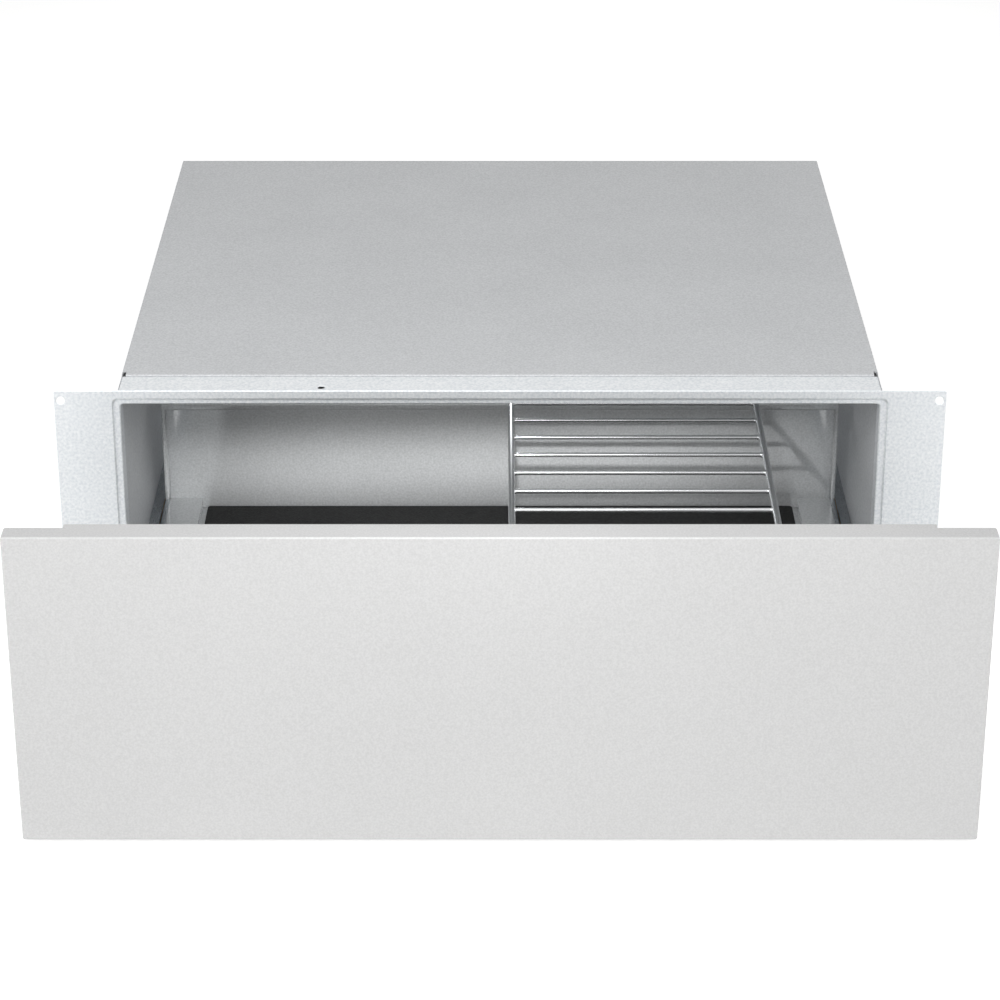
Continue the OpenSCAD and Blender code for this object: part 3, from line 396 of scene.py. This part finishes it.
def lip_section():
    """The sheet's section from the flange's face down the joggle, through the throat and back."""
    slope = [(LIP_W + LIP_SLOPE * (0.5 - share), LIP_STEP * (1 - math.cos(math.pi * share)) / 2)
             for share in (step / SLOPE_STEPS for step in range(SLOPE_STEPS + 1))]
    bend = [(out, LIP_STEP + depth) for depth, out in rolled(MOUTH_EDGE_R)]
    end = [(0, THROAT_END - SHEET_EDGE), (SHEET_EDGE, THROAT_END),
           (SHEET_T - SHEET_EDGE, THROAT_END), (SHEET_T, THROAT_END - SHEET_EDGE)]
    back = [(SHEET_T, LIP_STEP + SHEET_T)]
    back += [(out, depth + SHEET_T) for out, depth in reversed(slope)]
    return slope + bend + end + back


def punched_plate(bm, outline, holes, lay, face, back):
    """Rims of a plate from face to back: its outline and holes, each a function of its inset."""
    rim = ((SHEET_EDGE, face), (0, face + SHEET_EDGE), (0, back - SHEET_EDGE), (SHEET_EDGE, back))
    for shape, sign in [(outline, 1)] + [(hole, -1) for hole in holes]:
        loft(bm, [lay(shape(sign * inset), depth) for inset, depth in rim])


def frame_strip():
    """The punched strip between the flange and the top cover, with its pressed pip."""
    def outline(inset):
        return round_loop(STRIP_HALF - inset, SHEET_T + inset, STRIP_BACK - inset, PLATE_CORNER_R)

    bm = bmesh.new()
    x, y, hole_r = STRIP_HOLE
    punched_plate(bm, outline, [lambda inset: circle_loop(x, y, hole_r - inset)],
                  level, STRIP_TOP - SHEET_T, STRIP_TOP)
    fill_plane(bm, Z, STRIP_TOP - SHEET_T)
    fill_plane(bm, Z, STRIP_TOP)
    pip_x, pip_y, pip_r = STRIP_PIP
    loft(bm, [level(circle_loop(pip_x, pip_y, pip_r * share, PIP_POINTS), STRIP_TOP + rise)
              for share, rise in PIP_DOME], True, True)
    return bm


def make_front_frame():
    """Flange, lip and strip as one pressed part."""
    low, high = millimetres("front_frame")

    def outline(inset):
        return round_loop(high.x - inset, low.z + inset, high.z - inset, PLATE_CORNER_R)

    bm = bmesh.new()
    loft(bm, [mouth_loop(out, depth) for out, depth in lip_section()])
    holes = [lambda inset, x=x, z=z: circle_loop(x, z, CORNER_HOLE_R - inset)
             for x in (low.x + CORNER_HOLE_X, high.x - CORNER_HOLE_X)
             for z in (low.z + CORNER_HOLE_Z, high.z - CORNER_HOLE_Z)]
    punched_plate(bm, outline, holes, upright, 0, SHEET_T)
    fill_plane(bm, Y, 0)
    fill_plane(bm, Y, SHEET_T)
    strip = frame_strip()
    scrap = bpy.data.meshes.new("strip")
    strip.to_mesh(scrap)
    strip.free()
    bm.from_mesh(scrap)
    bpy.data.meshes.remove(scrap)
    piece("pressed_front_frame", bm, "front_frame")


make_front_frame()


# ---- drawer front ----

PANEL_EDGE_R = 1.5
# A ring's corners have what its inset leaves of the edge's radius, but no less than the first of
# these, and the second on top
PANEL_CORNER_LEAST, PANEL_CORNER_ADD = 0.3, 0.4
PANEL_SKIN = 1.0
# Radius at the return's end, and how far in its middle point is as a share of that
PANEL_BACK_R, BACK_R_INSET = 0.7, 0.3


def make_panel_skin():
    """A steel tray folded round the core: rolled front edges and a straight return."""
    low, high = millimetres("front_panel_skin")

    def ring(inset, depth):
        radius = max(PANEL_EDGE_R - inset, PANEL_CORNER_LEAST) + PANEL_CORNER_ADD
        return upright(round_loop(high.x - inset, low.z + inset, high.z - inset, radius), depth)

    round_in = BACK_R_INSET * PANEL_BACK_R
    lining = [(PANEL_SKIN, low.y + PANEL_SKIN), (PANEL_SKIN, high.y)]
    rim = [(PANEL_BACK_R, high.y), (round_in, high.y - round_in), (0, high.y - PANEL_BACK_R)]
    face = [(inset, low.y + drop) for inset, drop in rolled(PANEL_EDGE_R)]
    bm = bmesh.new()
    loft(bm, [ring(*at) for at in lining + rim + face], True, True)
    piece("rolled_panel_skin", bm, "front_panel_skin")


make_panel_skin()


# ---- mat, wire rack and foot caps ----

MAT_EDGE_R, MAT_UNDER_R = 0.8, 0.2
MAT_CORNER_R = 3.0


def make_mat():
    """A rubber sheet with a rolled upper edge and round corners."""
    low, high = millimetres("anti_slip_mat")

    def ring(inset, height):
        outline = round_loop(high.x - inset, low.y + inset, high.y - inset, MAT_CORNER_R - inset)
        return level(outline, height)

    under = [(MAT_UNDER_R, low.z), (0, low.z + MAT_UNDER_R)]
    face = [(inset, high.z - drop) for inset, drop in rolled(MAT_EDGE_R)]
    bm = bmesh.new()
    loft(bm, [ring(*at) for at in under + face], True, True)
    piece("rolled_edge_mat", bm, "anti_slip_mat")


make_mat()

RACK_X, RACK_W = 10.0, 222.0
SIDE_WIRE_D, CROSS_WIRE_D = 6.0, 4.0
SIDE_POINTS, CROSS_POINTS = 20, 16
WIRE_BEND_R, BEND_STEPS = 6.0, 8
CROSS_COUNT, CROSS_PITCH, LAST_CROSS_Y = 10, 37.8, 188.5
BRACE_Z = 97.0
HOOK_DROP = 16
# How far a leg ends above the CAD one, the lengths of its tip and the hook's, and what share of
# the wire's thickness is left at a tip's end
LEG_LIFT, LEG_TIP, HOOK_TIP, TIP_SHARE = 0.4, 0.6, 0.8, 0.75
# How far past the side wire's skin, and how many times as thick the cross wire is there
WELD_BEAD = ((0, 1.42), (0.5, 1.2), (1.4, 1.0))
# The cap's radius, and how far its bore's floor is over its sole
FOOT_R, FOOT_FLOOR = 5.0, 14.0 / 3
FOOT_EDGE_R, FOOT_EDGE_STEP, FOOT_SOLE_SHARE = 1.2, 10, 0.6
FOOT_RIM, FOOT_GAP = 0.6, 0.1


def tube(bm, path, radii, sides):
    """Adds a round wire along a path in one plane, with a radius at each point, in millimetres."""
    spots = [Vector(p) for p in path]
    turns = ((b - a).cross(c - b) for a, b, c in zip(spots, spots[1:], spots[2:]))
    across = next((turn for turn in turns if turn.length > WELD), Vector((0, 0, 1))).normalized()
    loops = []
    for i, (spot, radius) in enumerate(zip(spots, radii)):
        run = (spots[min(i + 1, len(spots) - 1)] - spots[max(i - 1, 0)]).normalized()
        side = run.cross(across)
        loops.append([(spot + radius * (side * math.cos(t) + across * math.sin(t))) * MM
                      for t in full_turn(sides)])
    loft(bm, loops, True, True)


def wire_bend(y, z, start):
    """Points of a wire's quarter bend round (y, z), from a start angle on, turning backwards."""
    return [(y + WIRE_BEND_R * math.cos(a), z + WIRE_BEND_R * math.sin(a))
            for a in (math.radians(start - 90 * s / BEND_STEPS) for s in range(BEND_STEPS + 1))]


def make_wire_rack():
    """Two bent side wires that carry welded cross wires and a brace between the legs."""
    low, high = millimetres("wire_rack")
    r = SIDE_WIRE_D / 2
    rail_z = high.z - r
    leg_y, hook_y = low.y + r, high.y - r
    hook_z = millimetres("drawer_back")[1].z - HOOK_DROP
    side = [(leg_y, low.z + LEG_LIFT), (leg_y, low.z + LEG_LIFT + LEG_TIP)]
    side += wire_bend(leg_y + WIRE_BEND_R, rail_z - WIRE_BEND_R, 180)
    side += wire_bend(hook_y - WIRE_BEND_R, rail_z - WIRE_BEND_R, 90)
    side += [(hook_y, hook_z + HOOK_TIP), (hook_y, hook_z)]
    radii = [r * TIP_SHARE] + [r] * (len(side) - 2) + [r * TIP_SHARE]
    bm = bmesh.new()
    for x in (RACK_X, RACK_X + RACK_W):
        tube(bm, [(x, y, z) for y, z in side], radii, SIDE_POINTS)
    weld = [(0, 1.0)] + [(r + past, swell) for past, swell in WELD_BEAD]
    ends = [(RACK_X + out, swell) for out, swell in weld]
    ends += [(RACK_X + RACK_W - out, swell) for out, swell in reversed(weld)]
    radii = [swell * CROSS_WIRE_D / 2 for _, swell in ends]
    bars = [(LAST_CROSS_Y - i * CROSS_PITCH, rail_z) for i in range(CROSS_COUNT)]
    for y, z in bars + [(leg_y, BRACE_Z)]:
        tube(bm, [(x, y, z) for x, _ in ends], radii, CROSS_POINTS)
    piece("welded_wire_rack", bm, "wire_rack")


def make_rack_feet():
    """Caps on the legs' ends: round outside, with a bore for the wire."""
    low, high = millimetres("rack_feet")
    y = (low.y + high.y) / 2
    bore = SIDE_WIRE_D / 2 + FOOT_GAP
    section = [(FOOT_SOLE_SHARE * FOOT_R, low.z)]
    section += [(FOOT_R - drop, low.z + inset)
                for inset, drop in rolled(FOOT_EDGE_R, FOOT_EDGE_STEP)]
    section += [(FOOT_R, high.z - FOOT_RIM), (FOOT_R - FOOT_RIM, high.z),
                (bore, high.z), (bore, low.z + FOOT_FLOOR)]
    bm = bmesh.new()
    for x in (RACK_X, RACK_X + RACK_W):
        loft(bm, [level(circle_loop(x, y, radius), z) for radius, z in section], True, True)
    piece("wire_end_caps", bm, "rack_feet")


make_wire_rack()
make_rack_feet()


# ---- screws: pan heads with a six-lobed drive ----

SCREW_HEAD_H, SCREW_SHANK_R = 2.0, 2.0
SCREW_POINTS, LOBES = 36, 6
# In from the head's side at its foot, and the height at which the side is reached
HEAD_FOOT_IN, HEAD_FOOT_H = 0.15, 0.2
# Shares of the head's radius and height
HEAD_DOME = ((1, 0.45), (0.93, 0.75), (0.78, 0.94), (0.62, 1))
SHANK_TIP_SHARE, SHANK_TIP_H = 0.6, 0.8
# The drive's lobes reach this much past its radius, and it ends in a shallow cone
DRIVE_R, DRIVE_DEPTH, DRIVE_WAVE = 2.0, 1.1, 0.28
DRIVE_EDGE, DRIVE_TAPER = 0.1, 0.15
DRIVE_CONE_R, DRIVE_CONE_H = 0.3, 0.2


def screw(bm, head_foot, out, head_r, length):
    """A screw whose head stands out of the face that it sits on at head_foot."""
    turn = Vector((0, 0, 1)).rotation_difference(Vector(out)).to_matrix()

    def ring(radius, height, wave=0.0):
        spots = []
        for a in full_turn(SCREW_POINTS):
            reach = radius * (1 + wave * math.cos(LOBES * a))
            spot = Vector((reach * math.cos(a), reach * math.sin(a), height))
            spots.append((Vector(head_foot) + turn @ spot) * MM)
        return spots

    shank = [(SHANK_TIP_SHARE * SCREW_SHANK_R, -length), (SCREW_SHANK_R, SHANK_TIP_H - length),
             (SCREW_SHANK_R, 0)]
    dome = [(head_r - HEAD_FOOT_IN, 0), (head_r, HEAD_FOOT_H)]
    dome += [(wide * head_r, high * SCREW_HEAD_H) for wide, high in HEAD_DOME]
    wave, floor = DRIVE_WAVE / DRIVE_R, SCREW_HEAD_H - DRIVE_DEPTH
    drive = [(DRIVE_R + DRIVE_EDGE, SCREW_HEAD_H, wave), (DRIVE_R, SCREW_HEAD_H - DRIVE_EDGE, wave),
             (DRIVE_R - DRIVE_TAPER, floor, wave), (DRIVE_CONE_R, floor - DRIVE_CONE_H, 0)]
    loft(bm, [ring(*at) for at in shank + dome + drive], True, True)


def screw_places(node):
    """The lowest and highest corner of each screw in a CAD node, in millimetres."""
    bm = bmesh.new()
    bm.from_mesh(NODES[node].data)
    bmesh.ops.remove_doubles(bm, verts=bm.verts, dist=WELD)
    left, boxes = set(bm.verts), []
    # Each screw is a shell of its own, whose points are found along its edges
    while left:
        reached, edge = set(), [left.pop()]
        while edge:
            v = edge.pop()
            reached.add(v)
            for link in v.link_edges:
                w = link.other_vert(v)
                if w in left:
                    left.discard(w)
                    edge.append(w)
        points = [v.co / MM for v in reached]
        boxes.append([Vector([pick(p[i] for p in points) for i in range(3)])
                      for pick in (min, max)])
    bm.free()
    return sorted(boxes, key=lambda box: tuple(round(c, 2) for c in box[0]))


def make_screws(node, axis):
    """Screws along X with their heads away from the middle, or along Y with them at the back."""
    bm = bmesh.new()
    for low, high in screw_places(node):
        middle = (low + high) / 2
        sign = math.copysign(1, middle.x) if axis == X else 1
        out = Vector([sign if i == axis else 0 for i in range(3)])
        foot = Vector(middle)
        foot[axis] = (high if sign > 0 else low)[axis] - sign * SCREW_HEAD_H
        screw(bm, foot, out, (high.z - low.z) / 2, high[axis] - low[axis] - SCREW_HEAD_H)
    piece(node.replace("_screws", "_pan_head_screws"), bm, node)


make_screws("runner_screws", X)
make_screws("frame_screws", X)
make_screws("rear_screws", Y)
make_screws("panel_screws", Y)


# ---- strain relief ----

GLAND_FLANGE_R, GLAND_NECK_R, GLAND_NOSE_R, GLAND_BORE_R = 14.0, 10.0, 8.5, 4.5
GLAND_POINTS = 48
PANEL_IN_Y, COLLAR_END_Y = 597.0, 600.0
RIBS, RIB_DEPTH = 4, 1.1


def make_gland():
    """Nylon strain relief: a collar on each side of the panel and a ribbed nose."""
    low, high = millimetres("cable_gland")
    middle = (low + high) / 2
    flange_r, nose_r, bore_r = GLAND_FLANGE_R, GLAND_NOSE_R, GLAND_BORE_R
    # The inner collar, the neck in the panel's hole and the outer collar
    section = [
        (bore_r, low.y), (flange_r - 0.6, low.y), (flange_r, low.y + 0.6),
        (flange_r, PANEL_IN_Y - 2.2), (GLAND_NECK_R, PANEL_IN_Y - 1.6),
        (GLAND_NECK_R, PANEL_IN_Y - 0.8), (flange_r, PANEL_IN_Y - 0.7),
        (flange_r, COLLAR_END_Y - 0.8), (flange_r - 0.8, COLLAR_END_Y), (nose_r, COLLAR_END_Y)]
    pitch = (high.y - COLLAR_END_Y - 1.2) / RIBS
    root_r = nose_r - RIB_DEPTH
    for k in range(RIBS):
        y = COLLAR_END_Y + 0.6 + k * pitch
        section += [(nose_r, y), (nose_r, y + 0.45 * pitch),
                    (root_r, y + 0.55 * pitch), (root_r, y + 0.95 * pitch)]
    section += [(root_r, high.y - 0.5), (root_r - 0.5, high.y),
                (bore_r + 0.4, high.y), (bore_r, high.y - 0.4)]
    bm = bmesh.new()
    loft(bm, [upright(circle_loop(middle.x, middle.z, radius, GLAND_POINTS), y)
              for radius, y in section + section[:1]])
    bmesh.ops.remove_doubles(bm, verts=bm.verts, dist=WELD)
    piece("ribbed_strain_relief", bm, "cable_gland")


make_gland()


# ---- back wall: a bead is rolled into its top and side hems ----

# How far the edges of sheet, liner and moulded parts are broken
SHEET_BREAK, LINER_BREAK, BRACKET_BREAK, BOX_BREAK = 0.25, 0.3, 0.4, 0.9
# The bead's height, and the step round it in degrees
BEAD_H, BEAD_STEP = 0.9, 15
BEAD_GAP, BEAD_END_GAP = 0.1, 0.5
# Its foot runs in under it, and into the sheet
BEAD_FOOT_IN, BEAD_SINK = 0.4, 0.3
SIDE_HEM_W = 3.9
HEM_FOOT_Z = 70.5


def bead(bm, start, end, lay):
    """A half-round bead across from start to end, which lay turns into loops along it."""
    middle, half = (start + end) / 2, (end - start) / 2 - BEAD_GAP
    arch = [(middle - half * math.cos(turn), BEAD_H * math.sin(turn))
            for turn in (math.radians(a) for a in range(0, 181, BEAD_STEP))]
    section = [(start + BEAD_FOOT_IN, -BEAD_SINK)] + arch + [(end - BEAD_FOOT_IN, -BEAD_SINK)]
    loft(bm, lay(section), True, True)


def make_drawer_back():
    """The back wall with its beads on the side that faces into the drawer."""
    low, high = millimetres("drawer_back")
    seam_z = millimetres("back_wall_liner")[1].z
    side_ends = (low.x + BEAD_END_GAP, high.x - BEAD_END_GAP)
    upright_ends = (HEM_FOOT_Z + BEAD_END_GAP, high.z - BEAD_END_GAP)
    bm = soft_mesh("drawer_back", LINER_BREAK)
    bead(bm, seam_z, high.z, lambda section: [
        [Vector((x, low.y - out, z)) * MM for z, out in section] for x in side_ends])
    for start, end in ((low.x, low.x + SIDE_HEM_W), (high.x - SIDE_HEM_W, high.x)):
        bead(bm, start, end, lambda section: [
            [Vector((x, low.y - out, z)) * MM for x, out in section] for z in upright_ends])
    piece("beaded_drawer_back", bm, "drawer_back")


make_drawer_back()


# ---- top cover: bent down along its front ----

COVER_BEND_R = 1.2
# An edge this near to the cover's front and top is on the bend
NEAR = 0.1


def make_cover():
    """The top cover with a larger bend along its upper front edge."""
    low, high = millimetres("top_cover")
    bm = soft_mesh("top_cover", SHEET_BREAK, COVER_BEND_R,
                   lambda spot: spot.y < low.y + NEAR and spot.z > high.z - NEAR)
    piece("folded_top_cover", bm, "top_cover")


make_cover()


# ---- sheet and moulded parts that keep their CAD form, with their edges broken ----

FORMED = {
    SHEET_BREAK: (
        "housing_shell", "ceiling_liner", "rear_panel", "air_baffle", "fan_box",
        "left_outer_rail", "right_outer_rail", "left_middle_rail", "right_middle_rail",
        "left_inner_rail", "right_inner_rail"),
    LINER_BREAK: (
        "tray_floor", "left_runner_cover", "right_runner_cover", "back_wall_liner",
        "left_side_beam", "right_side_beam", "tray_crossbars"),
    BRACKET_BREAK: (
        "left_front_bracket", "right_front_bracket", "latch_striker", "board_case",
        "terminal_block", "latch_body", "reed_switch", "front_panel_back", "motor_stator"),
    BOX_BREAK: ("inner_front",),
}
for edge_size, formed_nodes in FORMED.items():
    for formed_node in formed_nodes:
        piece(formed_node + "_formed", soft_mesh(formed_node, edge_size), formed_node)

for node_name, node_object in NODES.items():
    node_object.data.materials.clear()
    node_object.data.materials.append(FINISH[SLOT_OF[node_name]])


# ---- floor, surroundings and lamps ----

FLOOR_SIZE = 14
FLOOR_LIGHT, FLOOR_DARK, FLOOR_GRAIN = "#F8F8F7", "#F2F2F1", 4
FLOOR_LIFT = 0.6
WORLD_LIGHT = 0.35


def make_floor():
    """A pale floor that renders white and still darkens where the drawer shades it."""
    mat = empty_finish("pale studio floor")
    place = add(mat, "TexCoord").outputs["Object"]
    tone = add(mat, "Mix", {
        0: mottle(mat, place, FLOOR_GRAIN), 6: paint(FLOOR_DARK), 7: paint(FLOOR_LIGHT)},
        data_type="RGBA").outputs[2]
    matt = add(mat, "BsdfDiffuse", {"Color": tone})
    path = add(mat, "LightPath").outputs
    lift = add(mat, "Math", {0: path["Is Camera Ray"], 1: FLOOR_LIFT}, operation="MULTIPLY")
    glow = add(mat, "Emission", {"Strength": lift.outputs[0]})
    shaded = add(mat, "AddShader", {0: matt.outputs[0], 1: glow.outputs[0]})
    mirrored = add(mat, "Math", {
        0: path["Is Glossy Ray"], 1: path["Is Transmission Ray"]}, operation="MAXIMUM")
    white = add(mat, "Emission")
    close_finish(mat, add(mat, "MixShader", {
        0: mirrored.outputs[0], 1: shaded.outputs[0], 2: white.outputs[0]}))
    bm = bmesh.new()
    bmesh.ops.create_grid(bm, x_segments=1, y_segments=1, size=FLOOR_SIZE / 2)
    mesh = bpy.data.meshes.new("floor")
    bm.to_mesh(mesh)
    bm.free()
    mesh.materials.append(mat)
    floor = bpy.data.objects.new("floor", mesh)
    bpy.context.scene.collection.objects.link(floor)


def make_world():
    """White where it is seen or mirrored, and a plain soft light everywhere else."""
    world = bpy.data.worlds.new("white studio")
    world.use_nodes = True
    world.node_tree.nodes.clear()
    path = add(world, "LightPath").outputs
    seen = add(world, "Math", {
        0: path["Is Camera Ray"], 1: path["Is Glossy Ray"]}, operation="MAXIMUM").outputs[0]
    seen = add(world, "Math", {
        0: seen, 1: path["Is Transmission Ray"]}, operation="MAXIMUM").outputs[0]
    strength = add(world, "MapRange", {"Value": seen, 3: WORLD_LIGHT, 4: 1.0}).outputs[0]
    sky = add(world, "Background", {"Color": (1, 1, 1, 1), "Strength": strength})
    add(world, "OutputWorld", {"Surface": sky.outputs[0]})
    bpy.context.scene.world = world


def hang(data, at, aim=None):
    """Hangs a light at a place, turned to a point if it has a direction."""
    made = bpy.data.objects.new(data.name, data)
    made.location = at
    if aim:
        made.rotation_euler = (Vector(aim) - Vector(at)).to_track_quat("-Z", "Y").to_euler()
    bpy.context.scene.collection.objects.link(made)
    return made


def soft_box(name, at, aim, size, power):
    """A square soft lamp."""
    data = bpy.data.lights.new(name, "AREA")
    data.shape = "SQUARE"
    data.size = size
    data.energy = power
    hang(data, at, aim)


def housing_glow(at, radius, power):
    """A weak round lamp behind the drawer, for the light that the bare walls throw about."""
    data = bpy.data.lights.new("housing glow", "POINT")
    data.shadow_soft_size = radius
    data.energy = power
    hang(data, at)


def drawer_spot(at, aim, angle, radius, power, slot_low, slot_high, fade):
    """The small lamp over the open drawer, which throws the wires' shadows on the back wall.
    Its light stays between two slopes, as behind a slot, so that it enters the mouth only."""
    data = bpy.data.lights.new("drawer spot", "SPOT")
    data.spot_size = math.radians(angle)
    data.spot_blend = 1.0
    data.shadow_soft_size = radius
    data.energy = power
    data.use_nodes = True
    data.node_tree.nodes.clear()
    ray = add(data, "TexCoord").outputs["Normal"]
    parts = add(data, "SeparateXYZ", {"Vector": ray}).outputs
    depth = add(data, "Math", {0: parts["Z"]}, operation="ABSOLUTE").outputs[0]
    slope = add(data, "Math", {0: parts["Y"], 1: depth}, operation="DIVIDE").outputs[0]
    under = add(data, "MapRange", {
        "Value": slope, 1: slot_high - fade, 2: slot_high, 3: 1, 4: 0}).outputs[0]
    over = add(data, "MapRange", {"Value": slope, 1: slot_low, 2: slot_low + fade}).outputs[0]
    through = add(data, "Math", {0: under, 1: over}, operation="MULTIPLY").outputs[0]
    glow = add(data, "Emission", {"Strength": through})
    add(data, "OutputLight", {"Surface": glow.outputs[0]})
    return hang(data, at, aim)


DRAWER_INSIDE = (
    "back_wall_liner", "drawer_back", "tray_floor", "left_runner_cover", "right_runner_cover",
    "anti_slip_mat", "wire_rack", "rack_feet", "inner_front")


def keep_inside(light):
    """Lets a lamp light the inside alone, so that the front stays evenly lit when it is shut."""
    inside = bpy.data.collections.new("inside of the drawer")
    for node in DRAWER_INSIDE:
        inside.objects.link(PIECE_OF[node])
    light.light_linking.receiver_collection = inside


make_floor()
make_world()

# Name, place, point it is turned to, width, and power in watts
SOFT_BOXES = (
    ("high soft box", (-0.25, -1.0, 1.75), (0, 0, 0.15), 0.9, 7.4),
    ("left soft box", (-1.3, -1.0, 0.6), (0, 0, 0.15), 1.2, 11.8),
    ("right soft box", (1.3, -1.0, 0.6), (0, 0, 0.15), 1.2, 9.4),
    ("rear soft box", (0, 0.9, 1.9), (0, 0.3, 0.15), 0.8, 0.7),
    ("panel light", (0, -0.5, 0.55), (0, -0.2, 0.15), 0.3, 0.65),
    ("back soft box", (0, 2.2, 0.14), (0, 0.6, 0.14), 0.25, 4.5),
)
for box in SOFT_BOXES:
    soft_box(*box)
housing_glow(at=(0, 0.33, 0.225), radius=0.02, power=0.3)
keep_inside(drawer_spot(
    at=(0, -0.439, 0.464), aim=(-0.035, 0.196, 0.12), angle=62, radius=0.01, power=16.4,
    slot_low=-0.07, slot_high=0.045, fade=0.045))
